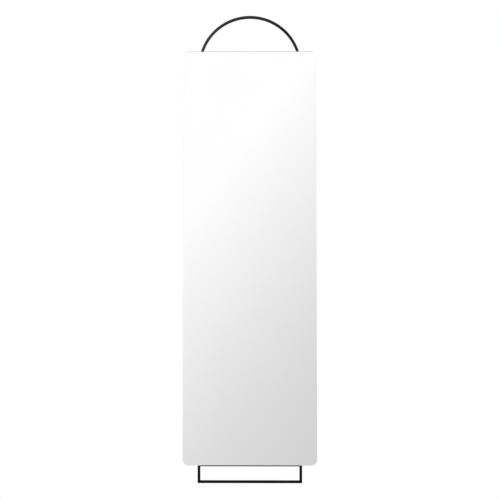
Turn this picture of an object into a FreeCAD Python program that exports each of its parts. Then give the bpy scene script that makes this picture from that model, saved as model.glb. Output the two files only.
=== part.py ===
import FreeCAD, Part
import math
import os

# Full-length wall mirror. A silvered pane is taped to a board, and the board is screwed to a frame of
# square steel bar. The frame is one bar bent into an arch with two long legs, closed by a mitred rail:
# the arch shows above the pane and hangs the mirror, and the rail shows below it and holds scarves.
# Millimetres, +Z up, and the pane faces -Y. The origin is on the wall, where a hook bears under the arch.

# Driving dimensions: pane and the film on its back
GLASS_WIDTH = 450.0
GLASS_HEIGHT = 1400.0
GLASS_THICKNESS = 4.0
GLASS_CORNER_RADIUS = 20.0
GLASS_ARRIS = 1.0
FILM_THICKNESS = 0.2
FILM_SETBACK = 3.0

# Driving dimensions: foam tape and board
TAPE_COUNT = 4
TAPE_WIDTH = 25.0
TAPE_THICKNESS = 1.0
TAPE_EDGE_MARGIN = 30.0
BOARD_THICKNESS = 9.0
BOARD_SETBACK = 12.0
BOARD_BACK_CHAMFER = 2.0

# Driving dimensions: bar frame
BAR_SIDE = 9.0
BAR_EDGE_RADIUS = 0.8
FRAME_WIDTH = 351.0
ARCH_RISE = 126.5
RAIL_DROP = 60.5

# Driving dimensions: cross straps, folded ledge and the welds at their ends
STRAP_COUNT = 3
STRAP_HEIGHT = 20.0
STRAP_THICKNESS = 2.0
FIRST_STRAP_DROP = 50.0
LEDGE_HEIGHT = 45.0
LEDGE_THICKNESS = 2.0
LEDGE_BEND_RADIUS = 2.0
LEDGE_FRONT_SETBACK = 0.5
LEDGE_SCREW_DROP = 12.0
SEAT_STRIP_THICKNESS = 0.8
SEAT_STRIP_END_GAP = 5.0
WELD_LEG = 3.0
WELD_BULGE = 0.4
WELD_END_GAP = 1.0

# Driving dimensions: screws and wall bumpers
SCREWS_PER_ROW = 3
SCREW_DIAMETER = 3.5
SCREW_LENGTH = 9.5
SCREW_POINT_LENGTH = 2.0
SCREW_TIP_CLEARANCE = 0.5
SCREW_HOLE_CLEARANCE = 0.25
SCREW_HEAD_DIAMETER = 7.0
SCREW_HEAD_HEIGHT = 2.4
SCREW_HEAD_ROUNDING = 0.75
SCREW_RECESS_LENGTH = 3.8
SCREW_RECESS_WIDTH = 0.9
SCREW_RECESS_DEPTH = 1.3
SCREW_END_MARGIN = 55.0
BUMPER_THICKNESS = 3.0
BUMPER_EDGE_MARGIN = 0.2
BUMPER_ROUNDING = 0.8
BUMPER_UPPER_DROP = 25.0
BUMPER_LOWER_RISE = 40.0

# Depths, from the wall forwards: bumpers, bars, board, tape, film, glass
WALL = 0.0
BAR_BACK = WALL - BUMPER_THICKNESS
BOARD_BACK = BAR_BACK - BAR_SIDE
BOARD_FRONT = BOARD_BACK - BOARD_THICKNESS
FILM_BACK = BOARD_FRONT - TAPE_THICKNESS
GLASS_BACK = FILM_BACK - FILM_THICKNESS
GLASS_FRONT = GLASS_BACK - GLASS_THICKNESS
BAR_MIDDLE = (BAR_BACK + BOARD_BACK) / 2
STRAP_BACK = BOARD_BACK + STRAP_THICKNESS
LEDGE_BACK = BOARD_BACK + LEDGE_THICKNESS
LEDGE_FRONT = GLASS_FRONT + LEDGE_FRONT_SETBACK

# Heights, from the hook downwards, and widths across the frame
INNER_HALF_WIDTH = FRAME_WIDTH / 2 - BAR_SIDE
LEG_CENTRE = FRAME_WIDTH / 2 - BAR_SIDE / 2
ARCH_CENTRE = -INNER_HALF_WIDTH
GLASS_TOP = BAR_SIDE - ARCH_RISE
GLASS_BOTTOM = GLASS_TOP - GLASS_HEIGHT
GLASS_MIDDLE = (GLASS_TOP + GLASS_BOTTOM) / 2
LEDGE_SEAT = GLASS_BOTTOM - SEAT_STRIP_THICKNESS
LEDGE_BOTTOM = LEDGE_SEAT - LEDGE_THICKNESS
LEDGE_TOP = LEDGE_BOTTOM + LEDGE_HEIGHT
RAIL_BOTTOM = GLASS_BOTTOM - RAIL_DROP
RAIL_TOP = RAIL_BOTTOM + BAR_SIDE
FIRST_ROW = ARCH_CENTRE - FIRST_STRAP_DROP
LEDGE_ROW = LEDGE_TOP - LEDGE_SCREW_DROP
BOARD_WIDTH = GLASS_WIDTH - 2 * BOARD_SETBACK
BOARD_HEIGHT = GLASS_HEIGHT - 2 * BOARD_SETBACK
BOARD_CORNER_RADIUS = max(GLASS_CORNER_RADIUS - BOARD_SETBACK, BOARD_BACK_CHAMFER)
SEAT_STRIP_WIDTH = GLASS_THICKNESS - GLASS_ARRIS
BUMPER_DIAMETER = BAR_SIDE - 2 * (BAR_EDGE_RADIUS + BUMPER_EDGE_MARGIN)

ORIGIN = FreeCAD.Vector(0, 0, 0)
X_AXIS = FreeCAD.Vector(1, 0, 0)
Y_AXIS = FreeCAD.Vector(0, 1, 0)
Z_AXIS = FreeCAD.Vector(0, 0, 1)
FLAT_TOLERANCE = 1e-6


def evenly(first, last, count):
    """Places from first to last, both included, at equal steps."""
    step = (last - first) / (count - 1)
    return [first + step * index for index in range(count)]


def strap_rows():
    """Heights of the cross straps: equal steps from the first strap to the ledge's own row of screws."""
    return evenly(FIRST_ROW, LEDGE_ROW, STRAP_COUNT + 1)[:STRAP_COUNT]


def screw_columns():
    """Places of the screws along a strap."""
    reach = INNER_HALF_WIDTH - SCREW_END_MARGIN
    return evenly(-reach, reach, SCREWS_PER_ROW)


def rounded_rectangle(width, height, radius):
    """Face in the XY plane, centred on the origin, with round corners."""
    reach_x = width / 2 - radius
    reach_y = height / 2 - radius
    corners = [(reach_x, reach_y), (-reach_x, reach_y), (-reach_x, -reach_y), (reach_x, -reach_y)]
    arcs = []
    for index, (x, y) in enumerate(corners):
        circle = Part.Circle(FreeCAD.Vector(x, y, 0), Z_AXIS, radius)
        arcs.append(Part.ArcOfCircle(circle, index * math.pi / 2, (index + 1) * math.pi / 2))
    edges = []
    for arc, following in zip(arcs, arcs[1:] + arcs[:1]):
        edges.append(arc.toShape())
        edges.append(Part.LineSegment(arc.EndPoint, following.StartPoint).toShape())
    return Part.Face(Part.Wire(edges))


def polygon_face(points):
    """Face bounded by straight edges through points in order."""
    return Part.Face(Part.makePolygon(points + points[:1]))


def upright_plate(width, height, radius, front, thickness):
    """Sheet in the XZ plane with round corners, centred on the pane, from front back towards the wall."""
    face = rounded_rectangle(width, height, radius)
    face.rotate(ORIGIN, X_AXIS, 90)
    face.translate(FreeCAD.Vector(0, front, GLASS_MIDDLE))
    return face.extrude(Y_AXIS * thickness)


def rim_edges(solid, depths):
    """Edges of an upright sheet that lie at one of these depths and run round its outline."""
    found = []
    for edge in solid.Edges:
        box = edge.BoundBox
        if box.YLength < FLAT_TOLERANCE and any(abs(box.YMin - depth) < FLAT_TOLERANCE for depth in depths):
            found.append(edge)
    return found


def mirrored(shape):
    """The same shape on the other side of the middle plane."""
    return shape.mirror(ORIGIN, X_AXIS)


def mirror_glass():
    """Pane with round corners and a narrow arris ground on both faces."""
    pane = upright_plate(GLASS_WIDTH, GLASS_HEIGHT, GLASS_CORNER_RADIUS, GLASS_FRONT, GLASS_THICKNESS)
    return pane.makeChamfer(GLASS_ARRIS, rim_edges(pane, [GLASS_FRONT, GLASS_BACK]))


def safety_film():
    """Film on the silvered back, which holds the pieces if the pane breaks."""
    width = GLASS_WIDTH - 2 * FILM_SETBACK
    height = GLASS_HEIGHT - 2 * FILM_SETBACK
    return upright_plate(width, height, GLASS_CORNER_RADIUS - FILM_SETBACK, GLASS_BACK, FILM_THICKNESS)


def foam_tape(middle):
    """Upright strip of double-sided foam tape between film and board."""
    height = BOARD_HEIGHT - 2 * TAPE_EDGE_MARGIN
    corner = FreeCAD.Vector(middle - TAPE_WIDTH / 2, FILM_BACK, GLASS_MIDDLE - height / 2)
    return Part.makeBox(TAPE_WIDTH, TAPE_THICKNESS, height, corner)


def tape_columns():
    """Middles of the tape strips across the board."""
    reach = BOARD_WIDTH / 2 - TAPE_EDGE_MARGIN - TAPE_WIDTH / 2
    return evenly(-reach, reach, TAPE_COUNT)


def screw_places():
    """Head seat of every screw: those of the straps, then those of the ledge."""
    places = [FreeCAD.Vector(x, STRAP_BACK, z) for z in strap_rows() for x in screw_columns()]
    return places + [FreeCAD.Vector(x, LEDGE_BACK, LEDGE_ROW) for x in screw_columns()]


def backing_board():
    """Fibreboard with its back edge eased and a blind pilot hole for every screw."""
    board = upright_plate(BOARD_WIDTH, BOARD_HEIGHT, BOARD_CORNER_RADIUS, BOARD_FRONT, BOARD_THICKNESS)
    board = board.makeChamfer(BOARD_BACK_CHAMFER, rim_edges(board, [BOARD_BACK]))
    holes = []
    for seat in screw_places():
        depth = SCREW_LENGTH - (seat.y - BOARD_BACK) + SCREW_TIP_CLEARANCE
        mouth = FreeCAD.Vector(seat.x, BOARD_BACK, seat.z)
        holes.append(Part.makeCylinder(SCREW_DIAMETER / 2, depth, mouth, -Y_AXIS))
    return board.cut(holes)


def mitre_wedge(keep_leg):
    """Corner that a mitre saws off at the right foot: the leg's inner one, or the rail's outer one."""
    outer = FRAME_WIDTH / 2
    foot = FreeCAD.Vector(outer, BOARD_BACK, RAIL_BOTTOM)
    throat = FreeCAD.Vector(INNER_HALF_WIDTH, BOARD_BACK, RAIL_TOP)
    if keep_leg:
        waste = FreeCAD.Vector(INNER_HALF_WIDTH, BOARD_BACK, RAIL_BOTTOM)
    else:
        waste = FreeCAD.Vector(outer, BOARD_BACK, RAIL_TOP)
    return polygon_face([foot, throat, waste]).extrude(Y_AXIS * BAR_SIDE)


def hanger_hoop():
    """Square bar bent into the arch, with a long leg at each side and a mitred foot on each leg."""
    section = rounded_rectangle(BAR_SIDE, BAR_SIDE, BAR_EDGE_RADIUS)
    section.translate(FreeCAD.Vector(LEG_CENTRE, BAR_MIDDLE, ARCH_CENTRE))
    arch = section.revolve(FreeCAD.Vector(0, 0, ARCH_CENTRE), -Y_AXIS, 180)
    leg = section.extrude(Z_AXIS * (RAIL_BOTTOM - ARCH_CENTRE)).cut(mitre_wedge(keep_leg=True))
    return arch.multiFuse([leg, mirrored(leg)]).removeSplitter()


def bottom_rail():
    """Square bar between the legs, mitred at both ends."""
    section = rounded_rectangle(BAR_SIDE, BAR_SIDE, BAR_EDGE_RADIUS)
    section.rotate(ORIGIN, Y_AXIS, 90)
    section.translate(FreeCAD.Vector(-FRAME_WIDTH / 2, BAR_MIDDLE, (RAIL_BOTTOM + RAIL_TOP) / 2))
    wedge = mitre_wedge(keep_leg=False)
    return section.extrude(X_AXIS * FRAME_WIDTH).cut([wedge, mirrored(wedge)])


def weld_beads(back, bottom, top):
    """Fillet welds that join the ends of a strap to the legs, on the side that faces the wall."""
    toe = FreeCAD.Vector(INNER_HALF_WIDTH - WELD_LEG, back, bottom + WELD_END_GAP)
    root = FreeCAD.Vector(INNER_HALF_WIDTH, back, bottom + WELD_END_GAP)
    crest = FreeCAD.Vector(INNER_HALF_WIDTH, back + WELD_LEG, bottom + WELD_END_GAP)
    outward = FreeCAD.Vector(-1, 1, 0).normalize()
    crown = (toe + crest) / 2 + outward * WELD_BULGE
    outline = [Part.LineSegment(toe, root), Part.LineSegment(root, crest), Part.Arc(crest, crown, toe)]
    face = Part.Face(Part.Wire([curve.toShape() for curve in outline]))
    bead = face.extrude(Z_AXIS * (top - bottom - 2 * WELD_END_GAP))
    return [bead, mirrored(bead)]


def screw_holes(row, back, thickness):
    """Clearance holes through a strap for one row of screws."""
    radius = SCREW_DIAMETER / 2 + SCREW_HOLE_CLEARANCE
    mouths = [FreeCAD.Vector(x, back, row) for x in screw_columns()]
    return [Part.makeCylinder(radius, thickness, mouth, -Y_AXIS) for mouth in mouths]


def cross_strap(row):
    """Flat strip welded between the legs and screwed to the board."""
    bottom = row - STRAP_HEIGHT / 2
    corner = FreeCAD.Vector(-INNER_HALF_WIDTH, BOARD_BACK, bottom)
    strip = Part.makeBox(2 * INNER_HALF_WIDTH, STRAP_THICKNESS, STRAP_HEIGHT, corner)
    strip = strip.multiFuse(weld_beads(STRAP_BACK, bottom, bottom + STRAP_HEIGHT)).removeSplitter()
    return strip.cut(screw_holes(row, STRAP_BACK, STRAP_THICKNESS))


def ledge_profile():
    """Section of the folded ledge in the YZ plane: an upright flange, a bend and a flange under the pane."""
    inner = LEDGE_BEND_RADIUS
    outer = LEDGE_BEND_RADIUS + LEDGE_THICKNESS
    bend_y = BOARD_BACK - inner
    bend_z = LEDGE_SEAT + inner
    slant = math.sqrt(0.5)

    def at(y, z):
        return FreeCAD.Vector(-INNER_HALF_WIDTH, y, z)

    back_top = at(LEDGE_BACK, LEDGE_TOP)
    back_bend = at(LEDGE_BACK, bend_z)
    outer_middle = at(bend_y + outer * slant, bend_z - outer * slant)
    under_bend = at(bend_y, LEDGE_BOTTOM)
    under_front = at(LEDGE_FRONT, LEDGE_BOTTOM)
    seat_front = at(LEDGE_FRONT, LEDGE_SEAT)
    seat_bend = at(bend_y, LEDGE_SEAT)
    inner_middle = at(bend_y + inner * slant, bend_z - inner * slant)
    face_bend = at(BOARD_BACK, bend_z)
    face_top = at(BOARD_BACK, LEDGE_TOP)
    outline = [
        Part.LineSegment(back_top, back_bend),
        Part.Arc(back_bend, outer_middle, under_bend),
        Part.LineSegment(under_bend, under_front),
        Part.LineSegment(under_front, seat_front),
        Part.LineSegment(seat_front, seat_bend),
        Part.Arc(seat_bend, inner_middle, face_bend),
        Part.LineSegment(face_bend, face_top),
        Part.LineSegment(face_top, back_top),
    ]
    return Part.Face(Part.Wire([curve.toShape() for curve in outline]))


def glass_ledge():
    """Folded steel ledge between the legs: it carries the pane and is screwed to the foot of the board."""
    ledge = ledge_profile().extrude(X_AXIS * (2 * INNER_HALF_WIDTH))
    straight_bottom = LEDGE_SEAT + LEDGE_BEND_RADIUS
    ledge = ledge.multiFuse(weld_beads(LEDGE_BACK, straight_bottom, LEDGE_TOP)).removeSplitter()
    return ledge.cut(screw_holes(LEDGE_ROW, LEDGE_BACK, LEDGE_THICKNESS))


def seat_strip():
    """Rubber strip that keeps the pane's edge off the steel of the ledge."""
    length = 2 * (INNER_HALF_WIDTH - SEAT_STRIP_END_GAP)
    front = (GLASS_FRONT + GLASS_BACK - SEAT_STRIP_WIDTH) / 2
    corner = FreeCAD.Vector(-length / 2, front, LEDGE_SEAT)
    return Part.makeBox(length, SEAT_STRIP_WIDTH, SEAT_STRIP_THICKNESS, corner)


def screw():
    """Pan-head wood screw along Y: its head seats on the XZ plane at the origin and its point is at -Y."""
    head = SCREW_HEAD_DIAMETER / 2
    flat = head - SCREW_HEAD_ROUNDING
    shank = SCREW_DIAMETER / 2
    rim = SCREW_HEAD_HEIGHT / 2
    slant = math.sqrt(0.5)

    def at(radius, along):
        return FreeCAD.Vector(radius, along, 0)

    shoulder = at(flat + SCREW_HEAD_ROUNDING * slant, rim + (SCREW_HEAD_HEIGHT - rim) * slant)
    crown = at(flat, SCREW_HEAD_HEIGHT)
    outline = [
        Part.LineSegment(at(0, SCREW_HEAD_HEIGHT), crown),
        Part.Arc(crown, shoulder, at(head, rim)),
        Part.LineSegment(at(head, rim), at(head, 0)),
        Part.LineSegment(at(head, 0), at(shank, 0)),
        Part.LineSegment(at(shank, 0), at(shank, SCREW_POINT_LENGTH - SCREW_LENGTH)),
        Part.LineSegment(at(shank, SCREW_POINT_LENGTH - SCREW_LENGTH), at(0, -SCREW_LENGTH)),
        Part.LineSegment(at(0, -SCREW_LENGTH), at(0, SCREW_HEAD_HEIGHT)),
    ]
    body = Part.Face(Part.Wire([curve.toShape() for curve in outline])).revolve(ORIGIN, Y_AXIS, 360)
    floor = SCREW_HEAD_HEIGHT - SCREW_RECESS_DEPTH
    corner = FreeCAD.Vector(-SCREW_RECESS_LENGTH / 2, floor, -SCREW_RECESS_WIDTH / 2)
    wing = Part.makeBox(SCREW_RECESS_LENGTH, SCREW_RECESS_DEPTH, SCREW_RECESS_WIDTH, corner)
    return body.cut([wing, wing.rotated(ORIGIN, Y_AXIS, 90)])


def board_screws():
    """All the screws, as separate solids."""
    pattern = screw()
    return Part.makeCompound([pattern.translated(seat) for seat in screw_places()])


def wall_bumper(x, z):
    """Small rubber disc on the back of a leg, which keeps the bar off the wall."""
    disc = Part.makeCylinder(BUMPER_DIAMETER / 2, BUMPER_THICKNESS, FreeCAD.Vector(x, BAR_BACK, z), Y_AXIS)
    return disc.makeFillet(BUMPER_ROUNDING, rim_edges(disc, [WALL]))


def all_nodes():
    """Every sub-part by its node name."""
    nodes = {
        "mirror_glass": mirror_glass(),
        "safety_film": safety_film(),
        "backing_board": backing_board(),
        "hanger_hoop": hanger_hoop(),
        "bottom_rail": bottom_rail(),
        "glass_ledge": glass_ledge(),
        "seat_strip": seat_strip(),
        "board_screws": board_screws(),
    }
    for number, middle in enumerate(tape_columns(), start=1):
        nodes[f"foam_tape_{number}"] = foam_tape(middle)
    for number, row in enumerate(strap_rows(), start=1):
        nodes[f"cross_strap_{number}"] = cross_strap(row)
    for side, x in (("left", -LEG_CENTRE), ("right", LEG_CENTRE)):
        nodes[f"bumper_upper_{side}"] = wall_bumper(x, ARCH_CENTRE - BUMPER_UPPER_DROP)
        nodes[f"bumper_lower_{side}"] = wall_bumper(x, RAIL_TOP + BUMPER_LOWER_RISE)
    return nodes


os.makedirs("parts", exist_ok=True)
for name, shape in all_nodes().items():
    shape.exportStep(f"parts/{name}.step")
    print(f"{name}: {len(shape.Solids)} solid(s), {shape.Volume / 1000:.2f} cm3, valid {shape.isValid()}")
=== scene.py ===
"""Full-length wall mirror: a silvered pane on a board, carried by a frame of black square bar.

The bar shows as an arch above the pane, which hangs the mirror, and as a square rail below it.
"""

import logging
import math
from dataclasses import dataclass, field, replace
from enum import Enum
from typing import Any, Iterable, Sequence

import bmesh
import bpy
from bmesh.types import BMEdge, BMesh, BMVert
from bpy.types import ID, Material, Mesh, Node, NodeOutputs, NodeSocket, NodeTree, Object
from mathutils import Matrix, Vector


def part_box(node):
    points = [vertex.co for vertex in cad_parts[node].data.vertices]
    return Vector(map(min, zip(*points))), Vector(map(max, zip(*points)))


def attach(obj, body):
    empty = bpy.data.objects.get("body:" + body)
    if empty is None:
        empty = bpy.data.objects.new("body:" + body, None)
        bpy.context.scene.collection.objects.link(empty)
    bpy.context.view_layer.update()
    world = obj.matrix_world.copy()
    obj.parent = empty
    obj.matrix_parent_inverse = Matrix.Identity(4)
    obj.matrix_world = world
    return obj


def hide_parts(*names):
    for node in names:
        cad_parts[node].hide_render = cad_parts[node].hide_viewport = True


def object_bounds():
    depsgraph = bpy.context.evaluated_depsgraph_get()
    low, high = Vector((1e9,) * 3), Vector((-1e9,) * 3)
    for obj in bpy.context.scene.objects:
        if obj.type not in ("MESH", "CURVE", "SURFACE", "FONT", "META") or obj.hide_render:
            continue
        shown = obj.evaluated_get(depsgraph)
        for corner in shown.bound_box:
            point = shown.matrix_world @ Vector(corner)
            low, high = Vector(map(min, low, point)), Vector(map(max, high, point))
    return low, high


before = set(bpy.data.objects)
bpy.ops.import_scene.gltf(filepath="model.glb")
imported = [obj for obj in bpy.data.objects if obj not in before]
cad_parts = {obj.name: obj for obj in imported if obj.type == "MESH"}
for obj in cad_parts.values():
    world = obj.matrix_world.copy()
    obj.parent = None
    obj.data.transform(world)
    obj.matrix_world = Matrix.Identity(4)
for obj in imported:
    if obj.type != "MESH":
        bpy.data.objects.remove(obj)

CAD_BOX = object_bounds()
LOG = logging.getLogger("wall_mirror")
BODY = "root"
MM = 0.001
JOIN_DISTANCE = 1e-6
FLAT = 0.99  # a face whose normal goes this far along an axis lies square to it
STRAIGHT = 0.9999  # an edge whose direction goes this far along an axis runs along it
CREASE = math.radians(32)  # edges that turn by more than this look sharp
QUARTER_TURN = math.pi / 2
STRIP_STEPS = 4
# The Mix node's colour sockets go by number, because the node has other sockets of the same names.
MIX_FIRST, MIX_SECOND, MIX_RESULT = 6, 7, 2

Color = tuple[float, float, float]
Inputs = dict[str | int, Any]
Pair = tuple[float, float]
Place = tuple[float, float, float]
WHOLE: Pair = (0.0, 1.0)
WHITE: Color = (1.0, 1.0, 1.0)
DUST_COLOR: Color = (0.42, 0.40, 0.37)


class Slot(Enum):
    """Names of the record's material slots for the new pieces; the script does not use them."""

    PANE = "mirror_glass"
    TAPE = "foam_tape"
    BAR = "powder_coat"
    SEAT = "seat_rubber"
    SCREW = "screw_steel"
    BUMPER = "bumper_rubber"


class Axis(Enum):
    """The object's axes as unit vectors."""

    X = (1.0, 0.0, 0.0)
    Y = (0.0, 1.0, 0.0)
    Z = (0.0, 0.0, 1.0)

    @property
    def vector(self) -> Vector:
        """The axis as a vector."""
        return Vector(self.value)


class Fall(Enum):
    """How a value goes from one end of its span to the other."""

    EVEN = "LINEAR"
    SOFT = "SMOOTHSTEP"


class Mottle(Enum):
    """Outputs of the surface grain that vary a coat's colour and its roughness."""

    FINE = ("Speckle", "Cloud")
    BROAD = ("Cloud", "Speckle")


class Trim(Enum):
    """What a bevel takes off."""

    EDGES = "EDGES"
    CORNERS = "VERTICES"


@dataclass(frozen=True)
class NodeSheet:
    """The tree of a material, a group or a world while it is filled with nodes."""

    tree: NodeTree

    def add(self, kind: str, inputs: Inputs | None = None, **settings: Any) -> Node:
        """Adds a node.

        Args:
            kind: The node's type.
            inputs: What goes into each input, by name or number: an output to link, or a value.
            **settings: The node's own properties.

        Returns:
            The node.
        """
        node = self.tree.nodes.new(kind)
        for key, value in settings.items():
            setattr(node, key, value)
        for key, value in (inputs or {}).items():
            socket = node.inputs[key]
            if isinstance(value, NodeSocket):
                self.tree.links.new(value, socket)
            else:
                socket.default_value = (*value, 1.0) if socket.type == "RGBA" else value
        return node

    def place(self, stretch: Place = (1.0, 1.0, 1.0), turn: Place = (0.0, 0.0, 0.0)) -> NodeSocket:
        """Object coordinates, stretched along each axis and turned about it by radians."""
        own = self.add("ShaderNodeTexCoord").outputs["Object"]
        return self.add("ShaderNodeMapping", {"Vector": own, "Scale": stretch, "Rotation": turn}).outputs[0]

    def noise(self, vector: NodeSocket, scale: Any, detail: float = 2.0) -> NodeSocket:
        """Noise from 0 to 1, where the scale is features per metre and the detail is octaves."""
        inputs = {"Vector": vector, "Scale": scale, "Detail": detail}
        return self.add("ShaderNodeTexNoise", inputs).outputs["Fac"]

    def cells(self, vector: NodeSocket, scale: Any) -> NodeSocket:
        """Distance to the nearest cell's middle, where the scale is cells per metre."""
        return self.add("ShaderNodeTexVoronoi", {"Vector": vector, "Scale": scale}).outputs["Distance"]

    def facing(self, axis: Axis) -> NodeSocket:
        """How far a face points along an axis, from -1 to 1."""
        normal = self.add("ShaderNodeNewGeometry").outputs["Normal"]
        return self.add("ShaderNodeSeparateXYZ", {"Vector": normal}).outputs[axis.name]

    def span(
        self, value: Any, result: Pair = WHOLE, within: Pair = WHOLE, fall: Fall = Fall.EVEN
    ) -> NodeSocket:
        """Maps a value from the span within onto the span result, and holds it there."""
        inputs = dict(zip(("From Min", "From Max", "To Min", "To Max"), within + result), Value=value)
        return self.add("ShaderNodeMapRange", inputs, interpolation_type=fall.value).outputs["Result"]

    def math(self, operation: str, first: Any, second: Any = 0.0) -> NodeSocket:
        """Result of a Math node."""
        return self.add("ShaderNodeMath", {0: first, 1: second}, operation=operation).outputs[0]

    def blend(self, mask: Any, first: Any, second: Any) -> NodeSocket:
        """Mixes two colours: the first where the mask is 0 and the second where it is 1."""
        inputs = {0: mask, MIX_FIRST: first, MIX_SECOND: second}
        return self.add("ShaderNodeMix", inputs, data_type="RGBA").outputs[MIX_RESULT]

    def bump(self, height: NodeSocket, relief: Pair) -> NodeSocket:
        """A normal raised by a height from 0 to 1, with the share of it that shows and its depth."""
        inputs = dict(zip(("Strength", "Distance"), relief), Height=height)
        return self.add("ShaderNodeBump", inputs).outputs["Normal"]


@dataclass(frozen=True)
class SharedEffect:
    """A surface effect that several finishes use, kept as one node group."""

    name: str
    inputs: tuple[str, ...]
    outputs: tuple[str, ...]

    def tree(self) -> NodeTree:
        """Makes the group the first time it is asked for.

        Returns:
            The group.
        """
        found = bpy.data.node_groups.get(self.name)
        if found:
            return found
        made = bpy.data.node_groups.new(self.name, "ShaderNodeTree")
        for way, names in (("INPUT", self.inputs), ("OUTPUT", self.outputs)):
            for name in names:
                made.interface.new_socket(name=name, in_out=way, socket_type="NodeSocketFloat")
        sheet = NodeSheet(made)
        results = self.fill(sheet, sheet.add("NodeGroupInput").outputs)
        sheet.add("NodeGroupOutput", dict(zip(self.outputs, results)))
        return made

    def fill(self, sheet: NodeSheet, given: NodeOutputs) -> Sequence[NodeSocket]:
        """Adds the group's own nodes, and gives one socket for each output."""
        raise NotImplementedError

    def use(self, sheet: NodeSheet, *values: float) -> NodeOutputs:
        """Places the group in a tree with these values in its inputs, and gives its outputs."""
        inputs = dict(zip(self.inputs, values))
        return sheet.add("ShaderNodeGroup", inputs, node_tree=self.tree()).outputs


@dataclass(frozen=True)
class SurfaceGrain(SharedEffect):
    """Fine speckle over a broad cloud, as paint, rubber and plated steel have."""

    name: str = "surface_grain"
    inputs: tuple[str, ...] = ("Grains per m", "Clouds per m")
    outputs: tuple[str, ...] = ("Speckle", "Cloud", "Height")
    speckle_span: Pair = (0.36, 0.64)  # stretch of the fine noise that it takes up
    cloud_span: Pair = (0.3, 0.7)  # stretch of the broad noise that it takes up
    pit_share: float = 0.45  # height of the round pits against that of the noise

    def fill(self, sheet: NodeSheet, given: NodeOutputs) -> Sequence[NodeSocket]:
        """Adds two noises and round pits.

        Args:
            sheet: The group's tree.
            given: The group's inputs.

        Returns:
            Speckle, cloud and height.
        """
        place = sheet.place()
        fine = sheet.noise(place, given["Grains per m"], detail=3.0)
        speckle = sheet.span(fine, within=self.speckle_span)
        cloud = sheet.span(sheet.noise(place, given["Clouds per m"], detail=4.0), within=self.cloud_span)
        pits = sheet.math("MULTIPLY", sheet.cells(place, given["Grains per m"]), self.pit_share)
        return speckle, cloud, sheet.math("ADD", fine, pits)


@dataclass(frozen=True)
class SettledDust(SharedEffect):
    """Thin dust that lies on faces that point up, in loose patches."""

    name: str = "settled_dust"
    inputs: tuple[str, ...] = ("Amount",)
    outputs: tuple[str, ...] = ("Mask",)
    upward_span: Pair = (0.2, 0.9)  # how far a face points up where dust starts and where it all lies
    patch_span: Pair = (0.35, 0.75)  # stretch of the noise that the patches take up
    patches_per_m: float = 60.0

    def fill(self, sheet: NodeSheet, given: NodeOutputs) -> Sequence[NodeSocket]:
        """Multiplies the upward part of the normal by noise.

        Args:
            sheet: The group's tree.
            given: The group's inputs.

        Returns:
            The dust's mask.
        """
        upward = sheet.span(sheet.facing(Axis.Z), within=self.upward_span)
        noise = sheet.noise(sheet.place(), self.patches_per_m, detail=5.0)
        lying = sheet.math("MULTIPLY", upward, sheet.span(noise, within=self.patch_span))
        return (sheet.math("MULTIPLY", lying, given["Amount"]),)


GRAIN = SurfaceGrain()
DUST = SettledDust()


@dataclass(frozen=True)
class Finish:
    """A surface finish, made into a material the first time a piece asks for it.

    Finishes name their values alike. What ends in per_m says how close together marks lie, and what ends
    in span is the stretch of a pattern that they take up. The roughness is that without and with the
    marks, the relief is the share of their height that shows and that height, and the gloss is the
    strength of the mirror image where one looks straight at it.
    """

    name: str

    def material(self) -> Material:
        """Makes the material once.

        Returns:
            The material.
        """
        found = bpy.data.materials.get(self.name)
        if found:
            return found
        made = bpy.data.materials.new(self.name)
        made.use_nodes = True
        made.node_tree.nodes.clear()
        sheet = NodeSheet(made.node_tree)
        shader = sheet.add("ShaderNodeBsdfPrincipled", self.paint(sheet))
        sheet.add("ShaderNodeOutputMaterial", {"Surface": shader.outputs["BSDF"]})
        return made

    def paint(self, sheet: NodeSheet) -> Inputs:
        """Adds the finish's own nodes, and gives what goes into the Principled shader."""
        raise NotImplementedError


@dataclass(frozen=True)
class SilveredFace(Finish):
    """Front of the pane: silver behind clear glass, with a breath of haze that only its gloss shows."""

    name: str = "silvered_face"
    clear: Color = (0.997, 0.996, 0.996)
    hazed: Color = (0.988, 0.987, 0.987)
    roughness: Pair = (0.002, 0.012)
    hazes_per_m: float = 7.0
    haze_span: Pair = (0.45, 0.75)

    def paint(self, sheet: NodeSheet) -> Inputs:
        """Makes a metal of almost no roughness.

        Args:
            sheet: The material's tree.

        Returns:
            What goes into the shader.
        """
        haze = sheet.span(sheet.noise(sheet.place(), self.hazes_per_m, detail=5.0), within=self.haze_span)
        color = sheet.blend(haze, self.clear, self.hazed)
        return {"Base Color": color, "Roughness": sheet.span(haze, self.roughness), "Metallic": 1.0}


@dataclass(frozen=True)
class GlassEdge(Finish):
    """Edge of float glass, with fine lines along the path of the wheel that ground it."""

    deep: Color = (0.80, 0.86, 0.84)  # between the lines
    pale: Color = (0.91, 0.94, 0.93)  # on the lines
    roughness: Pair = (0.10, 0.26)
    lines_per_m: float = 2600.0
    drift_per_m: float = 25.0  # how often the lines change along the edge
    relief: Pair = (0.2, 0.05 * MM)
    metal: float = 1.0  # 1 where the silver shows through the edge

    def paint(self, sheet: NodeSheet) -> Inputs:
        """Draws lines that run along the edge.

        Args:
            sheet: The material's tree.

        Returns:
            What goes into the shader.
        """
        along = sheet.place((self.drift_per_m, self.lines_per_m, self.drift_per_m))
        lines = sheet.noise(along, scale=1.0, detail=3.0)
        return {
            "Base Color": sheet.blend(lines, self.deep, self.pale),
            "Roughness": sheet.span(lines, self.roughness),
            "Normal": sheet.bump(lines, self.relief),
            "Metallic": self.metal,
        }


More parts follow.
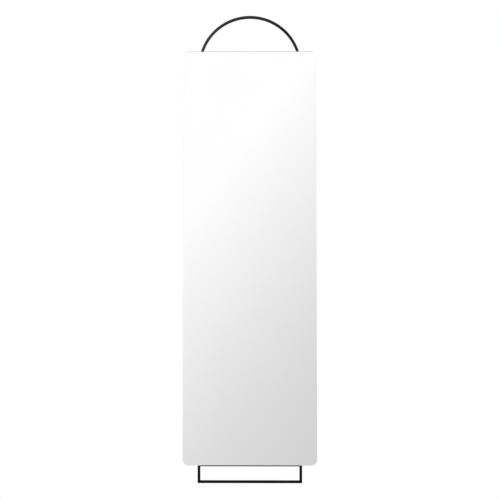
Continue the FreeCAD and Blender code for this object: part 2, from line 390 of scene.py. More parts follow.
@dataclass(frozen=True)
class GrainyCoat(Finish):
    """A coat with a fine grain: paint, powder, plating, rubber or foam."""

    dark: Color
    light: Color
    mottle: Mottle
    roughness: Pair
    grains_per_m: float
    clouds_per_m: float
    relief: Pair
    gloss: float = 0.5
    metal: float = 0.0  # 1 for a plating
    dust: float = 0.0  # how much dust lies on it

    def paint(self, sheet: NodeSheet) -> Inputs:
        """Mixes the grain and the dust.

        Args:
            sheet: The material's tree.

        Returns:
            What goes into the shader.
        """
        grain = GRAIN.use(sheet, self.grains_per_m, self.clouds_per_m)
        marks, sheen = (grain[name] for name in self.mottle.value)
        color = sheet.blend(marks, self.dark, self.light)
        if self.dust:
            color = sheet.blend(DUST.use(sheet, self.dust)["Mask"], color, DUST_COLOR)
        return {
            "Base Color": color,
            "Roughness": sheet.span(sheen, self.roughness),
            "Normal": sheet.bump(grain["Height"], self.relief),
            "Specular IOR Level": self.gloss,
            "Metallic": self.metal,
        }


@dataclass(frozen=True)
class Fibreboard(Finish):
    """Raw pressed board: short fibres every way, dark flecks, and cut edges that are darker than the face."""

    name: str = "raw_fibreboard"
    face: Color = (0.43, 0.29, 0.165)
    fibre: Color = (0.56, 0.41, 0.26)
    fleck: Color = (0.17, 0.10, 0.055)
    cut: Color = (0.25, 0.155, 0.085)
    roughness: Pair = (0.72, 0.88)
    fibres_per_m: float = 260.0
    thinness: float = 5.0  # how many times longer than thick a fibre is
    leans: Pair = (0.5, 0.3)  # turn of the lying and of the standing fibres, in radians
    fibre_span: Pair = (0.48, 0.72)
    clouds_per_m: float = 16.0
    flecks_per_m: float = 420.0
    fleck_span: Pair = (0.06, 0.24)  # where a fleck ends, as shares of its cell
    cut_share: float = 0.75  # how much of the cut edge's colour shows
    cut_span: Pair = (0.55, 0.95)  # how far a face points to the front or back where a cut edge ends
    relief: Pair = (0.25, 0.12 * MM)
    gloss: float = 0.3

    def paint(self, sheet: NodeSheet) -> Inputs:
        """Lays two crossed layers of fibre, flecks and the cut edge.

        Args:
            sheet: The material's tree.

        Returns:
            What goes into the shader.
        """
        long_way = self.fibres_per_m
        thin_way = self.fibres_per_m * self.thinness
        stretches = (long_way, thin_way, thin_way), (thin_way, thin_way, long_way)
        layers = [
            sheet.noise(sheet.place(stretch, (0.0, lean, 0.0)), scale=1.0, detail=3.0)
            for stretch, lean in zip(stretches, self.leans)
        ]
        fibres = sheet.span(sheet.math("MAXIMUM", *layers), within=self.fibre_span)
        place = sheet.place()
        clouds = sheet.noise(place, self.clouds_per_m, detail=4.0)
        flecks = sheet.span(sheet.cells(place, self.flecks_per_m), (1.0, 0.0), self.fleck_span)
        across = sheet.math("ABSOLUTE", sheet.facing(Axis.Y))
        edge = sheet.span(across, (self.cut_share, 0.0), self.cut_span)
        color = sheet.blend(sheet.math("MULTIPLY", fibres, clouds), self.face, self.fibre)
        color = sheet.blend(sheet.math("MULTIPLY", flecks, clouds), color, self.fleck)
        return {
            "Base Color": sheet.blend(edge, color, self.cut),
            "Roughness": sheet.span(fibres, self.roughness),
            "Normal": sheet.bump(fibres, self.relief),
            "Specular IOR Level": self.gloss,
        }


@dataclass(frozen=True)
class ScrimFilm(Finish):
    """Silver-grey safety film over a woven net of thread."""

    name: str = "scrim_film"
    film: Color = (0.47, 0.49, 0.51)
    thread: Color = (0.60, 0.62, 0.63)
    roughness: Pair = (0.32, 0.46)
    pitch: float = 2.5 * MM  # distance between threads
    wave_scale: float = 0.3142  # gives a Wave node one band per unit of length
    thread_span: Pair = (0.86, 1.0)
    grains_per_m: float = 900.0
    clouds_per_m: float = 8.0
    cloud_share: float = 0.3  # how much of the threads' colour the clouds take on
    relief: Pair = (0.4, 0.1 * MM)

    def paint(self, sheet: NodeSheet) -> Inputs:
        """Crosses two rows of thread.

        Args:
            sheet: The material's tree.

        Returns:
            What goes into the shader.
        """
        inputs = {"Vector": sheet.place(), "Scale": self.wave_scale / self.pitch}
        rows = [
            sheet.add("ShaderNodeTexWave", inputs, bands_direction=axis.name).outputs["Fac"]
            for axis in (Axis.X, Axis.Z)
        ]
        threads = sheet.span(sheet.math("MAXIMUM", *rows), within=self.thread_span)
        grain = GRAIN.use(sheet, self.grains_per_m, self.clouds_per_m)
        clouds = sheet.math("MULTIPLY", grain["Cloud"], self.cloud_share)
        film = sheet.blend(clouds, self.film, self.thread)
        return {
            "Base Color": sheet.blend(threads, film, self.thread),
            "Roughness": sheet.span(grain["Speckle"], self.roughness),
            "Normal": sheet.bump(threads, self.relief),
        }


@dataclass(frozen=True)
class PaleFloor(Finish):
    """Matt white floor that fades out towards its edge."""

    name: str = "pale_floor"
    dark: Color = (0.65, 0.65, 0.648)
    light: Color = (0.69, 0.69, 0.688)
    roughness: float = 0.8
    clouds_per_reach: float = 3.0
    fade_span: Pair = (0.55, 0.98)  # where it starts to fade and where it is gone

    def paint(self, sheet: NodeSheet) -> Inputs:
        """Makes a faint cloud and the fade.

        Args:
            sheet: The material's tree.

        Returns:
            What goes into the shader.
        """
        place = sheet.place()
        reach = sheet.add("ShaderNodeVectorMath", {0: place}, operation="LENGTH").outputs["Value"]
        return {
            "Base Color": sheet.blend(sheet.noise(place, self.clouds_per_reach), self.dark, self.light),
            "Roughness": self.roughness,
            "Alpha": sheet.span(reach, (1.0, 0.0), self.fade_span, Fall.SOFT),
        }


ARRIS = GlassEdge("polished_arris")
CUT_EDGE = GlassEdge(
    name="green_glass_edge",
    deep=(0.07, 0.15, 0.12),
    pale=(0.19, 0.31, 0.26),
    roughness=(0.16, 0.36),
    metal=0.0,
)
BACK_PAINT = GrainyCoat(
    name="mirror_back_paint",
    dark=(0.105, 0.11, 0.118),
    light=(0.15, 0.155, 0.163),
    mottle=Mottle.BROAD,
    roughness=(0.38, 0.55),
    grains_per_m=700.0,
    clouds_per_m=9.0,
    relief=(0.15, 0.08 * MM),
)
POWDER = GrainyCoat(
    name="black_powder_coat",
    dark=(0.0012, 0.0012, 0.0013),
    light=(0.0036, 0.0036, 0.0038),
    mottle=Mottle.FINE,
    roughness=(0.24, 0.34),
    grains_per_m=1700.0,
    clouds_per_m=14.0,
    relief=(0.22, 0.09 * MM),
    gloss=0.065,
    dust=0.05,
)
RUBBER = GrainyCoat(
    name="black_rubber",
    dark=(0.014, 0.014, 0.0145),
    light=(0.028, 0.028, 0.029),
    mottle=Mottle.FINE,
    roughness=(0.68, 0.86),
    grains_per_m=1400.0,
    clouds_per_m=40.0,
    relief=(0.25, 0.1 * MM),
    gloss=0.3,
    dust=0.06,
)
FOAM = replace(
    RUBBER,
    name="white_foam",
    dark=(0.70, 0.70, 0.68),
    light=(0.84, 0.84, 0.82),
    grains_per_m=900.0,
    relief=(0.5, 0.1 * MM),
)
ZINC = GrainyCoat(
    name="zinc_plate",
    dark=(0.56, 0.58, 0.60),
    light=(0.68, 0.66, 0.60),
    mottle=Mottle.BROAD,
    roughness=(0.22, 0.38),
    grains_per_m=2400.0,
    clouds_per_m=260.0,
    relief=(0.12, 0.03 * MM),
    metal=1.0,
)


def of_kind(geometry: Iterable[Any], kind: type) -> list[Any]:
    """Picks the vertices, edges or faces from an operator's result."""
    return [part for part in geometry if isinstance(part, kind)]


def everything(mesh: BMesh) -> list[Any]:
    """All the geometry of a mesh, for an operator that takes the whole."""
    return mesh.verts[:] + mesh.edges[:] + mesh.faces[:]


def ends_of(edges: Iterable[BMEdge]) -> list[BMVert]:
    """The vertices of some edges, each once."""
    return list(dict.fromkeys(vert for edge in edges for vert in edge.verts))


def runs_along(edge: BMEdge, axis: Axis) -> bool:
    """Tells whether an edge goes straight along an axis."""
    way = (edge.verts[1].co - edge.verts[0].co).normalized()
    return abs(way.dot(axis.vector)) > STRAIGHT


def face_outwards(mesh: BMesh) -> None:
    """Turns all the faces of a mesh outwards."""
    bmesh.ops.recalc_face_normals(mesh, faces=mesh.faces[:])


def push_edges(mesh: BMesh, edges: Sequence[BMEdge], step: Vector) -> list[BMEdge]:
    """Extrudes edges and moves the new ones.

    Args:
        mesh: The mesh.
        edges: Edges to extrude.
        step: How far they move.

    Returns:
        The edges at the new end.
    """
    made = bmesh.ops.extrude_edge_only(mesh, edges=edges)["geom"]
    ends = of_kind(made, BMVert)
    bmesh.ops.translate(mesh, vec=step, verts=ends)
    kept = set(ends)
    return [edge for edge in of_kind(made, BMEdge) if kept.issuperset(edge.verts)]


def ring_round(mesh: BMesh, edges: Sequence[BMEdge], centre: Vector, radius: float) -> list[BMEdge]:
    """Extrudes a closed loop of edges onto a circle round its middle.

    Args:
        mesh: The mesh.
        edges: The loop.
        centre: Middle of the circle, in the loop's plane.
        radius: The circle's radius.

    Returns:
        The edges of the circle.
    """
    loop = push_edges(mesh, edges, Vector())
    for vert in ends_of(loop):
        vert.co = centre + (vert.co - centre).normalized() * radius
    return loop


def bend(mesh: BMesh, edges: Sequence[BMEdge], centre: Place, axis: Vector, steps: int) -> list[BMEdge]:
    """Sweeps edges through a quarter turn.

    Args:
        mesh: The mesh.
        edges: Edges to sweep.
        centre: A point on the axis.
        axis: The axis that they turn about.
        steps: Segments in the turn.

    Returns:
        The edges at the end of the turn.
    """
    geometry = [*ends_of(edges), *edges]
    swept = bmesh.ops.spin(mesh, geom=geometry, cent=centre, axis=axis, angle=QUARTER_TURN, steps=steps)
    return of_kind(swept["geom_last"], BMEdge)


def ease(mesh: BMesh, geometry: Sequence[Any], offset: float, steps: int, trim: Trim = Trim.EDGES) -> None:
    """Rounds edges, or corners of a flat outline, in a number of steps, where one is a flat chamfer."""
    bmesh.ops.bevel(
        mesh, geom=geometry, offset=offset, segments=steps, profile=0.5, affect=trim.value, material=-1
    )


def block(node: str) -> BMesh:
    """Starts a mesh as a block that fills a CAD node's box.

    Args:
        node: The node's name.

    Returns:
        The block.
    """
    low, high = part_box(node)
    mesh = bmesh.new()
    size = Matrix.Diagonal((*(high - low), 1.0))
    bmesh.ops.create_cube(mesh, size=1.0, matrix=Matrix.Translation((low + high) / 2) @ size)
    return mesh


def mesh_data(name: str, mesh: BMesh, finishes: Sequence[Finish] = ()) -> Mesh:
    """Turns a mesh into data that an object can show.

    Args:
        name: The data's name.
        mesh: The mesh, which is used up.
        finishes: One finish for each material number.

    Returns:
        The data.
    """
    data = bpy.data.meshes.new(name)
    mesh.to_mesh(data)
    mesh.free()
    for finish in finishes:
        data.materials.append(finish.material())
    return data


def show(name: str, data: ID) -> Object:
    """Puts a mesh, a lamp or a camera into the scene.

    Args:
        name: The object's name.
        data: What it shows.

    Returns:
        The object.
    """
    made = bpy.data.objects.new(name, data)
    bpy.context.scene.collection.objects.link(made)
    return made


def finish_piece(name: str, mesh: BMesh, finishes: Sequence[Finish], replaced: str) -> None:
    """Turns a mesh into a piece that rides on the object and stands for a CAD node.

    Args:
        name: The piece's name.
        mesh: Its mesh, which is used up.
        finishes: One finish for each material number.
        replaced: The CAD node that it stands for.
    """
    data = mesh_data(name, mesh, finishes)
    data.shade_smooth()
    data.set_sharp_from_angle(angle=CREASE)
    piece = show(name, data)
    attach(piece, BODY)
    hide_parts(replaced)
    LOG.info("%s: %d faces", name, len(data.polygons))


def soft_strip(name: str, node: str, finish: Finish, rounding: float) -> None:
    """Cuts a strip of rubber or foam, with edges that are round where it is squeezed.

    Args:
        name: The piece's name.
        node: The CAD node that it stands for.
        finish: Its finish.
        rounding: Radius of its edges.
    """
    mesh = block(node)
    ease(mesh, mesh.edges[:], rounding, STRIP_STEPS)
    finish_piece(name, mesh, (finish,), node)


def dress_node(node: str, finish: Finish) -> None:
    """Gives a CAD node a finish.

    Args:
        node: The node's name.
        finish: Its finish.
    """
    for holder in bpy.data.objects[node].material_slots:
        holder.material = finish.material()
    LOG.info("%s: dressed with %s", node, finish.name)


@dataclass
class Pane:
    """The mirror itself, with its film, tape and board."""

    corner_radius: float = 20.0 * MM
    corner_steps: int = 28
    arris: float = 1.0 * MM  # width of the ground edge along both faces
    tapes: int = 4
    tape_round: float = 0.4 * MM

    def build(self) -> None:
        """Builds the pane and its tapes, and dresses the film and the board."""
        self.glass()
        dress_node("safety_film", ScrimFilm())
        for number in range(1, self.tapes + 1):
            soft_strip(f"foam_strip_{number}", f"foam_tape_{number}", FOAM, self.tape_round)
        dress_node("backing_board", Fibreboard())

    def glass(self) -> None:
        """Cuts the pane from a block: round corners first, then the arris on both faces."""
        mesh = block("mirror_glass")
        through = [edge for edge in mesh.edges if runs_along(edge, Axis.Y)]
        ease(mesh, through, self.corner_radius, self.corner_steps)
        rims = [edge for edge in mesh.edges if not runs_along(edge, Axis.Y)]
        ease(mesh, rims, self.arris, steps=1)
        # The finishes go from front to back, and so do the tilts where one ends and the next starts.
        finishes = (SilveredFace(), ARRIS, CUT_EDGE, BACK_PAINT)
        tilts = (-FLAT, FLAT - 1, FLAT)
        for face in mesh.faces:
            face.material_index = sum(face.normal.y >= tilt for tilt in tilts)
        finish_piece("silvered_pane", mesh, finishes, "mirror_glass")


@dataclass
class WeldBead:
    """A rippled fillet weld in the corner between two pieces of steel."""

    leg: float = 3.0 * MM  # reach along each piece of steel
    bulge: float = 0.4 * MM  # how far its face stands proud of a flat fillet
    lead: float = 0.8 * MM  # how far its crown runs ahead of its toes, which bends each ripple
    flank: float = 0.25  # share of bulge and lead that is added halfway between crown and toe
    pitch: float = 1.8 * MM  # distance between ripples
    ripple: float = 0.09  # share that it loses between ripples
    taper: float = 0.5  # share of its size at its two ends
    rings_per_ripple: int = 4

    def girth(self, ring: int, rings: int) -> float:
        """Size of the bead at one of its rings.

        Args:
            ring: The ring's number, from 0.
            rings: Number of the last ring.

        Returns:
            Share of the bead's full size.
        """
        crest = abs(math.sin(math.pi * ring / self.rings_per_ripple))
        end = min(ring, rings - ring) / self.rings_per_ripple
        return min(1.0, self.taper + (1 - self.taper) * end) * (1 - self.ripple * (1 - crest))

    def lay(self, mesh: BMesh, root: Vector, run: Vector, first: Vector, second: Vector) -> None:
        """Adds a bead to a mesh.

        Args:
            mesh: The mesh that it joins.
            root: Corner where the bead starts.
            run: From the start to the end of the bead.
            first: Unit vector along the first piece of steel.
            second: Unit vector along the second.
        """
        rise = (first + second).normalized() * self.bulge + run.normalized() * self.lead
        toes = first * self.leg, second * self.leg
        crown = sum(toes, Vector()) / 2 + rise
        flanks = [(toe + crown) / 2 + rise * self.flank for toe in toes]
        outline = [Vector(), toes[0], flanks[0], crown, flanks[1], toes[1]]
        rings = self.rings_per_ripple * round(run.length / self.pitch)
        verts = [mesh.verts.new(root + offset * self.girth(0, rings)) for offset in outline]
        loop = [mesh.edges.new(pair) for pair in zip(verts, verts[1:] + verts[:1])]
        mesh.faces.new(verts)
        for ring in range(1, rings + 1):
            loop = push_edges(mesh, loop, run / rings)
            growth = self.girth(ring, rings) / self.girth(ring - 1, rings)
            here = Matrix.Translation(-(root + run * ring / rings))
            bmesh.ops.scale(mesh, vec=(growth, growth, growth), space=here, verts=ends_of(loop))
        bmesh.ops.holes_fill(mesh, edges=loop, sides=0)


@dataclass
class BarFrame:
    """The square bar: an arch with two legs, and the rail between their feet."""

    edge_radius: float = 0.8 * MM
    edge_steps: int = 5
    arch_steps: int = 90  # segments in half of the arch
    side: float = field(init=False)  # side of the bar's section
    outer: float = field(init=False)  # outer face of the right leg
    foot: float = field(init=False)  # underside of the rail
    depth: float = field(init=False)  # middle of the bar from front to back
    springing: float = field(init=False)  # height where the legs end and the arch starts

    def __post_init__(self) -> None:
        """Reads the bar's places from the frame."""
        rail_low, rail_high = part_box("bottom_rail")
        self.side = rail_high.z - rail_low.z
        self.outer = rail_high.x
        self.foot = rail_low.z
        self.depth = (rail_low.y + rail_high.y) / 2
        # The arch hangs by its inside, which is at the origin, and springs from its inner radius below that.
        self.springing = -(self.outer - self.side)

    def build(self) -> None:
        """Builds the hoop and the rail."""
        self.hoop()
        self.rail()

    def section(self, mesh: BMesh, place: Matrix) -> list[BMEdge]:
        """Draws the bar's section, a square with round corners.

        Args:
            mesh: The mesh that gets it.
            place: Where it goes from the XY plane.

        Returns:
            The edges of the section.
        """
        bmesh.ops.create_grid(mesh, x_segments=1, y_segments=1, size=self.side / 2, matrix=place)
        ease(mesh, mesh.verts[:], self.edge_radius, self.edge_steps, Trim.CORNERS)
        bmesh.ops.delete(mesh, geom=mesh.faces[:], context="FACES_ONLY")
        return mesh.edges[:]

    def mitre(self, mesh: BMesh, keep_leg: bool) -> None:
        """Saws the right foot at 45 degrees, closes the cut and copies the half to the left.

        Args:
            mesh: The right half of a bar.
            keep_leg: True for the leg, which lies outside the cut, and False for the rail.
        """
        cut = bmesh.ops.bisect_plane(
            mesh,
            geom=everything(mesh),
            dist=JOIN_DISTANCE,
            plane_co=(self.outer, self.depth, self.foot),
            plane_no=Axis.X.vector + Axis.Z.vector,
            clear_inner=keep_leg,
            clear_outer=not keep_leg,
        )
        bmesh.ops.holes_fill(mesh, edges=of_kind(cut["geom_cut"], BMEdge), sides=0)
        bmesh.ops.mirror(mesh, geom=everything(mesh), merge_dist=JOIN_DISTANCE, axis="X")
        face_outwards(mesh)

    def hoop(self) -> None:
        """Bends half of the arch, drops its leg and mirrors both."""
        mesh = bmesh.new()
        start = Matrix.Translation((self.outer - self.side / 2, self.depth, self.springing))
        loop = self.section(mesh, start)
        bend(mesh, loop, (0.0, self.depth, self.springing), -Axis.Y.vector, self.arch_steps)
        push_edges(mesh, loop, Axis.Z.vector * (self.foot - self.springing))
        self.mitre(mesh, keep_leg=True)
        finish_piece("arched_hoop", mesh, (POWDER,), "hanger_hoop")

    def rail(self) -> None:
        """Runs the rail from the middle to the right foot, and mirrors it."""
        mesh = bmesh.new()
        middle = Matrix.Translation((0.0, self.depth, self.foot + self.side / 2))
        loop = self.section(mesh, middle @ Matrix.Rotation(QUARTER_TURN, 4, "Y"))
        push_edges(mesh, loop, Axis.X.vector * self.outer)
        self.mitre(mesh, keep_leg=False)
        finish_piece("foot_rail", mesh, (POWDER,), "bottom_rail")


@dataclass
class SheetSteel:
    """The flat straps and the folded ledge between the legs, with their screw holes and welds."""

    thickness: float = 2.0 * MM
    hole_radius: float = 2.0 * MM
    hole_sides: int = 32
    hole_reach: float = 8.0 * MM  # half of the square cell that a hole is cut in
    end_margin: float = 55.0 * MM  # from the leg to the first screw
    burr: float = 0.25 * MM  # width of the eased edges
    burr_steps: int = 2
    sharp: float = math.radians(80)  # edges that turn by more than this are eased
    bend_radius: float = 2.0 * MM  # on the inside of the ledge's fold
    bend_steps: int = 10
    weld_gap: float = 1.0 * MM  # bare steel at each end of a weld
    weld_sink: float = 0.1 * MM  # how far a weld bites into the sheet
    ledge_row: float = 12.0 * MM  # from the ledge's top edge to its screws
    straps: int = 3
    seat_round: float = 0.3 * MM  # radius of the edges of the rubber strip on the ledge
    seats: list[Vector] = field(init=False, default_factory=list)  # where the screw heads sit

    def build(self) -> None:
        """Builds the straps, the ledge and the strip on the ledge."""
        for number in range(1, self.straps + 1):
            self.strap(number)
        self.ledge()
        soft_strip("rubber_seat_strip", "seat_strip", RUBBER, self.seat_round)

    def strip(self, mesh: BMesh, low: Vector, high: Vector, row: float) -> None:
        """Lays out one flat face with round holes in a row, and notes the seats behind them.

        Args:
            mesh: The mesh that gets it.
            low: Lowest corner; its depth is the face's.
            high: Highest corner.
            row: Height of the holes.
        """
        reaches = (-self.hole_reach, self.hole_reach)
        outermost = high.x - self.end_margin
        columns = (-outermost, 0.0, outermost)
        levels = (low.z, *(row + reach for reach in reaches), high.z)
        verts = [mesh.verts.new((low.x, low.y, level)) for level in levels]
        front = [mesh.edges.new(pair) for pair in zip(verts, verts[1:])]
        place = low.x
        for stop in (*(x + reach for x in columns for reach in reaches), high.x):
            front = push_edges(mesh, front, Axis.X.vector * (stop - place))
            place = stop
        for x in columns:
            hole = Vector((x, low.y, row))
            self.punch(mesh, hole)
            self.seats.append(hole + Axis.Y.vector * self.thickness)

    def punch(self, mesh: BMesh, centre: Vector) -> None:
        """Cuts a round hole into the square cell round its centre.

        Args:
            mesh: The flat strip.
            centre: Middle of the hole.
        """
        cell = min(mesh.faces, key=lambda face: (face.calc_center_median() - centre).length)
        square = list(cell.edges)
        bmesh.ops.delete(mesh, geom=[cell], context="FACES_ONLY")
        bmesh.ops.subdivide_edges(mesh, edges=square, cuts=self.hole_sides // len(square) - 1)
        reach = self.hole_reach + JOIN_DISTANCE
        within = {vert for vert in mesh.verts if max(abs(part) for part in vert.co - centre) < reach}
        rim = [edge for edge in mesh.edges if edge.is_boundary and within.issuperset(edge.verts)]
        ring_round(mesh, rim, centre, self.hole_radius)

    def on_rim(self, edge: BMEdge) -> bool:
        """Tells the sheet's straight outer edges from the short ones round its holes."""
        return edge.calc_length() > self.thickness / 2 and any(runs_along(edge, axis) for axis in Axis)

    def thicken(self, mesh: BMesh) -> None:
        """Gives a layer that lies on the board its thickness, away from the board, and eases its rim.

        Args:
            mesh: The sheet as one layer.
        """
        face_outwards(mesh)
        mesh.faces.ensure_lookup_table()
        if mesh.faces[0].normal.y < 0:
            bmesh.ops.reverse_faces(mesh, faces=mesh.faces[:])
        bmesh.ops.solidify(mesh, geom=mesh.faces[:], thickness=-self.thickness)
        face_outwards(mesh)
        sharp = [edge for edge in mesh.edges if edge.is_manifold and edge.calc_face_angle() > self.sharp]
        ease(mesh, [edge for edge in sharp if self.on_rim(edge)], self.burr, self.burr_steps)

    def weld_in(self, mesh: BMesh, low: Vector, high: Vector, name: str, replaced: str) -> None:
        """Makes a layer a sheet, lays a bead at both ends of its upright face and finishes it.

        Args:
            mesh: The sheet as one layer.
            low: Lowest corner of the upright face.
            high: Highest corner of it.
            name: The piece's name.
            replaced: The CAD node that it stands for.
        """
        self.thicken(mesh)
        back = low.y + self.thickness - self.weld_sink
        run = Axis.Z.vector * (high.z - low.z - 2 * self.weld_gap)
        for side in (-1.0, 1.0):
            root = Vector((side * high.x, back, low.z + self.weld_gap))
            WeldBead().lay(mesh, root, run, -side * Axis.X.vector, Axis.Y.vector)
        face_outwards(mesh)
        finish_piece(name, mesh, (POWDER,), replaced)

    def strap(self, number: int) -> None:
        """Makes one strap.

        Args:
            number: Its number from the top.
        """
        low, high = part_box(f"cross_strap_{number}")
        mesh = bmesh.new()
        self.strip(mesh, low, high, (low.z + high.z) / 2)
        self.weld_in(mesh, low, high, f"welded_strap_{number}", f"cross_strap_{number}")

    def ledge(self) -> None:
        """Folds the ledge: an upright flange with holes, a bend and a flange under the pane."""
        low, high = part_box("glass_ledge")
        board_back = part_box("backing_board")[1].y
        fold_depth = board_back - self.bend_radius
        fold = low.z + self.thickness + self.bend_radius
        face_low = Vector((low.x, board_back, fold))
        face_high = Vector((high.x, board_back, high.z))
        mesh = bmesh.new()
        self.strip(mesh, face_low, face_high, high.z - self.ledge_row)
        lower = [
            edge
            for edge in mesh.edges
            if edge.is_boundary and all(abs(vert.co.z - fold) < JOIN_DISTANCE for vert in edge.verts)
        ]
        bent = bend(mesh, lower, (0.0, fold_depth, fold), -Axis.X.vector, self.bend_steps)
        push_edges(mesh, bent, Axis.Y.vector * (low.y - fold_depth))
        self.weld_in(mesh, face_low, face_high, "folded_ledge", "glass_ledge")


@dataclass
class Fixings:
    """The board screws and the wall bumpers."""

    seats: Sequence[Vector]  # where the screw heads sit
    head_radius: float = 3.5 * MM
    head_height: float = 2.4 * MM
    crown_radius: float = 2.75 * MM  # of the head's flat top
    shank_radius: float = 1.75 * MM
    length: float = 9.5 * MM  # from the head's seat to the tip of the point
    point: float = 2.0 * MM  # length of the point
    recess_reach: float = 1.9 * MM  # half of the length of the cross
    recess_half: float = 0.45 * MM  # half of its width
    recess_depth: float = 1.3 * MM
    recess_taper: float = 0.72  # share of its length and width that is left at its floor
    rim_cuts: int = 3  # points added along each edge round the recess, where the crown starts
    dome_steps: int = 8  # rings over the head's dome
    turn: float = math.radians(37)  # how much further each screw is turned than the one before it
    bumper_sides: int = 48
    bumper_round: float = 0.8 * MM  # radius of its rim towards the wall
    bumper_steps: int = 6  # segments across that radius

    def build(self) -> None:
        """Builds the screws and the bumpers."""
        self.screws()
        for level in ("upper", "lower"):
            for side in ("left", "right"):
                self.bumper(f"{level}_{side}")

    def pattern_screw(self) -> Mesh:
        """Makes one screw about the Z axis, with its head's seat at the origin and its point at -Z.

        Returns:
            The screw's mesh.
        """
        mesh = bmesh.new()
        top = Matrix.Translation((0.0, 0.0, self.head_height))
        # The middle row and column of a square of nine cells are narrowed to the arms of the cross.
        cells = 3
        bmesh.ops.create_grid(mesh, x_segments=cells, y_segments=cells, size=self.recess_reach, matrix=top)
        for vert in mesh.verts:
            for axis in (0, 1):
                if abs(vert.co[axis]) < self.recess_reach / 2:
                    vert.co[axis] *= cells * self.recess_half / self.recess_reach
        rim = [edge for edge in mesh.edges if edge.is_boundary]
        middles = {face: face.calc_center_median().xy for face in mesh.faces}
        cross = [face for face, middle in middles.items() if min(map(abs, middle)) < self.recess_half]
        sunk = of_kind(bmesh.ops.extrude_face_region(mesh, geom=cross)["geom"], BMVert)
        bmesh.ops.delete(mesh, geom=cross, context="FACES_ONLY")
        bmesh.ops.translate(mesh, vec=Axis.Z.vector * -self.recess_depth, verts=sunk)
        bmesh.ops.scale(mesh, vec=(self.recess_taper, self.recess_taper, 1.0), verts=sunk)
        bmesh.ops.subdivide_edges(mesh, edges=rim, cuts=self.rim_cuts)
        rim = [edge for edge in mesh.edges if edge.is_boundary]
        self.turn_down(mesh, ring_round(mesh, rim, top.translation, self.crown_radius))
        bmesh.ops.remove_doubles(mesh, verts=mesh.verts[:], dist=JOIN_DISTANCE)
        face_outwards(mesh)
        return mesh_data("pattern_screw", mesh)

    def turn_down(self, mesh: BMesh, loop: list[BMEdge]) -> None:
        """Runs a ring from the crown over the dome, under the head and down the shank to the point.

        Args:
            mesh: The screw so far.
            loop: The ring at the crown.
        """
        rim_height = self.head_height / 2
        steps = []
        for step in range(1, self.dome_steps + 1):
            angle = step / self.dome_steps * QUARTER_TURN
            bulge = (self.head_radius - self.crown_radius) * math.sin(angle)
            steps.append((self.crown_radius + bulge, rim_height + rim_height * math.cos(angle)))
        steps += [
            (self.head_radius, 0.0),
            (self.shank_radius, 0.0),
            (self.shank_radius, self.point - self.length),
            (0.0, -self.length),
        ]
        radius, height = self.crown_radius, self.head_height
        for next_radius, next_height in steps:
            loop = push_edges(mesh, loop, Axis.Z.vector * (next_height - height))
            ratio = next_radius / radius
            bmesh.ops.scale(mesh, vec=(ratio, ratio, 1.0), verts=ends_of(loop))
            radius, height = next_radius, next_height

    def screws(self) -> None:
        """Sets a copy of the pattern screw in every seat, each turned its own way."""
        pattern = self.pattern_screw()
        mesh = bmesh.new()
        for number, seat in enumerate(self.seats):
            old = set(mesh.verts)
            mesh.from_mesh(pattern)
            place = Matrix.Translation(seat) @ Matrix.Rotation(-QUARTER_TURN, 4, "X")
            place = place @ Matrix.Rotation(number * self.turn, 4, "Z")
            bmesh.ops.transform(mesh, matrix=place, verts=[vert for vert in mesh.verts if vert not in old])
        bpy.data.meshes.remove(pattern)
        finish_piece("pan_head_screws", mesh, (ZINC,), "board_screws")

    def bumper(self, place: str) -> None:
        """Turns one rubber bumper with a round rim towards the wall.

        Args:
            place: Which corner it is at.
        """
        low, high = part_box(f"bumper_{place}")
        radius = (high.x - low.x) / 2
        middle = (low + high) / 2
        base = Matrix.Translation((middle.x, low.y, middle.z)) @ Matrix.Rotation(-QUARTER_TURN, 4, "X")
        mesh = bmesh.new()
        bmesh.ops.create_circle(mesh, cap_ends=True, segments=self.bumper_sides, radius=radius, matrix=base)
        loop = push_edges(mesh, mesh.edges[:], Axis.Y.vector * (high.y - low.y))
        bmesh.ops.holes_fill(mesh, edges=loop, sides=0)
        face_outwards(mesh)
        ease(mesh, loop, self.bumper_round, self.bumper_steps)
        finish_piece(f"wall_bumper_{place}", mesh, (RUBBER,), f"bumper_{place}")


@dataclass(frozen=True)
class Lamp:
    """A square soft box."""

    name: str
    place: Place
    aim: Place  # what it points at
    size: float  # length of its side
    power: float  # in watts
    mirrored: bool = False  # whether shiny faces show it

    def hang(self) -> None:
        """Hangs the lamp and turns it to its aim."""
        data = bpy.data.lights.new(self.name, "AREA")
        data.shape = "SQUARE"
        data.size = self.size
        data.energy = self.power
        lamp = show(self.name, data)
        lamp.location = self.place
        way = Vector(self.aim) - Vector(self.place)
        lamp.rotation_euler = way.to_track_quat("-Z", "Y").to_euler()
        lamp.visible_glossy = self.mirrored


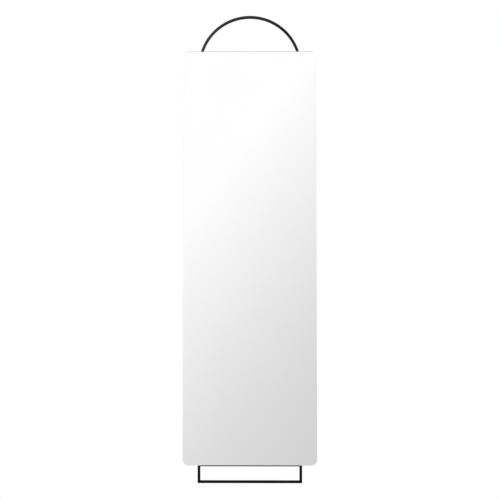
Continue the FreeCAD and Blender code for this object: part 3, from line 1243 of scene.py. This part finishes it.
@dataclass
class Studio:
    """White room round the mirror: floor, lamps, surroundings and camera."""

    floor_drop: float = 0.30  # from the object's lowest point down to the floor
    floor_reach: Pair = (2.4, 1.9)  # half length of the floor along X and Y
    floor_shift: float = -0.55  # middle of the floor along Y
    floor_cells: int = 8  # cells of the floor's mesh along each side
    ambient: float = 0.56  # light from all round on matt surfaces
    slope: Pair = (1.726, 1.483)  # how the tone that polished faces show falls towards +X and towards -Z
    sweep: float = 0.09  # how far to each side the tone goes on changing
    level: float = 0.438  # the tone's place on its ramp straight ahead
    # Stops of the tone's ramp, each a place and a grey.
    tones: tuple[Pair, ...] = ((0.2, 1.0), (0.42, 0.815), (0.55, 0.715), (0.75, 0.615), (1.5, 0.5))
    ceiling: Pair = (0.7, 0.95)  # how steeply one looks up where it darkens and where it is all dark
    ceiling_shade: float = 0.03  # how much of the tone the ceiling keeps
    distance: float = 4.0  # from the pane's face to the camera
    camera_shift: Pair = (0.0443, -0.1892)  # from the pane's middle along X and Z
    pitch: float = 3.027  # how far the camera looks up, in degrees
    yaw: float = 0.625  # how far it looks to the left, in degrees
    lens: float = 85.38  # focal length in millimetres
    sensor: float = 36.0  # width of the camera's sensor in millimetres
    lamps: tuple[Lamp, ...] = (
        Lamp("key_lamp", (-0.9, -4.6, 1.5), (0.0, 0.0, -0.3), 1.0, 140.0, True),
        Lamp("fill_lamp", (3.0, -2.6, 0.2), (0.0, 0.0, -0.9), 1.6, 25.0),
        Lamp("back_lamp", (1.8, 3.2, 1.6), (0.0, 0.0, -0.7), 1.8, 105.0),
    )

    def build(self) -> None:
        """Sets the whole stage."""
        self.floor()
        for lamp in self.lamps:
            lamp.hang()
        self.surroundings()
        self.camera()
        bpy.context.scene.view_settings.view_transform = "Standard"

    def floor(self) -> None:
        """Lays the floor under the object."""
        mesh = bmesh.new()
        bmesh.ops.create_grid(mesh, x_segments=self.floor_cells, y_segments=self.floor_cells, size=1.0)
        floor = show("floor", mesh_data("floor", mesh, (PaleFloor(),)))
        floor.location = (0.0, self.floor_shift, CAD_BOX[0][2] - self.floor_drop)
        floor.scale = (*self.floor_reach, 1.0)

    def surroundings(self) -> None:
        """Sets a white room: plain to the eye, sloping in tone to polished faces, and dimmer as a light."""
        world = bpy.data.worlds.new("white_room")
        world.use_nodes = True
        world.node_tree.nodes.clear()
        sheet = NodeSheet(world.node_tree)
        path = sheet.add("ShaderNodeLightPath").outputs
        color = sheet.blend(path["Is Glossy Ray"], WHITE, self.mirrored_tone(sheet))
        shown = sheet.math("MAXIMUM", path["Is Camera Ray"], path["Is Glossy Ray"])
        shown = sheet.math("MAXIMUM", shown, path["Is Transmission Ray"])
        strength = sheet.span(shown, (self.ambient, 1.0))
        room = sheet.add("ShaderNodeBackground", {"Color": color, "Strength": strength})
        sheet.add("ShaderNodeOutputWorld", {"Surface": room.outputs["Background"]})
        bpy.context.scene.world = world

    def mirrored_tone(self, sheet: NodeSheet) -> NodeSocket:
        """Slopes the room's tone from side to side and from top to bottom, under a dark ceiling.

        Args:
            sheet: The world's tree.

        Returns:
            The tone in each direction.
        """
        way = sheet.add("ShaderNodeTexCoord").outputs["Generated"]
        parts = sheet.add("ShaderNodeSeparateXYZ", {"Vector": way}).outputs
        swing = self.sweep * self.slope[0]
        across = sheet.span(parts["X"], (self.level - swing, self.level + swing), (-self.sweep, self.sweep))
        along = sheet.math("SUBTRACT", across, sheet.math("MULTIPLY", parts["Z"], self.slope[1]))
        start, end = self.tones[0][0], self.tones[-1][0]
        ramp = sheet.add("ShaderNodeValToRGB", {"Fac": sheet.span(along, within=(start, end))})
        stops = ramp.color_ramp.elements
        # A new ramp has two stops already.
        for _ in self.tones[2:]:
            stops.new(1.0)
        for stop, (place, grey) in zip(stops, self.tones):
            stop.position = (place - start) / (end - start)
            stop.color = (grey, grey, grey, 1.0)
        overhead = sheet.span(parts["Z"], (1.0, self.ceiling_shade), self.ceiling)
        inputs = {0: ramp.outputs["Color"], "Scale": overhead}
        return sheet.add("ShaderNodeVectorMath", inputs, operation="SCALE").outputs["Vector"]

    def camera(self) -> None:
        """Stands the camera where the photograph was taken from."""
        low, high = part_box("mirror_glass")
        data = bpy.data.cameras.new("photo_camera")
        data.lens = self.lens
        data.sensor_width = self.sensor
        camera = show("photo_camera", data)
        across, up = self.camera_shift
        camera.location = (across, low.y - self.distance, (low.z + high.z) / 2 + up)
        camera.rotation_euler = (math.radians(90.0 + self.pitch), 0.0, math.radians(self.yaw))
        bpy.context.scene.camera = camera


def main() -> None:
    """Builds the sub-assemblies in order, then the studio round them."""
    logging.basicConfig(level=logging.INFO, format="%(name)s: %(message)s")
    Pane().build()
    BarFrame().build()
    sheet_steel = SheetSteel()
    sheet_steel.build()
    Fixings(sheet_steel.seats).build()
    Studio().build()


if __name__ == "__main__":
    main()
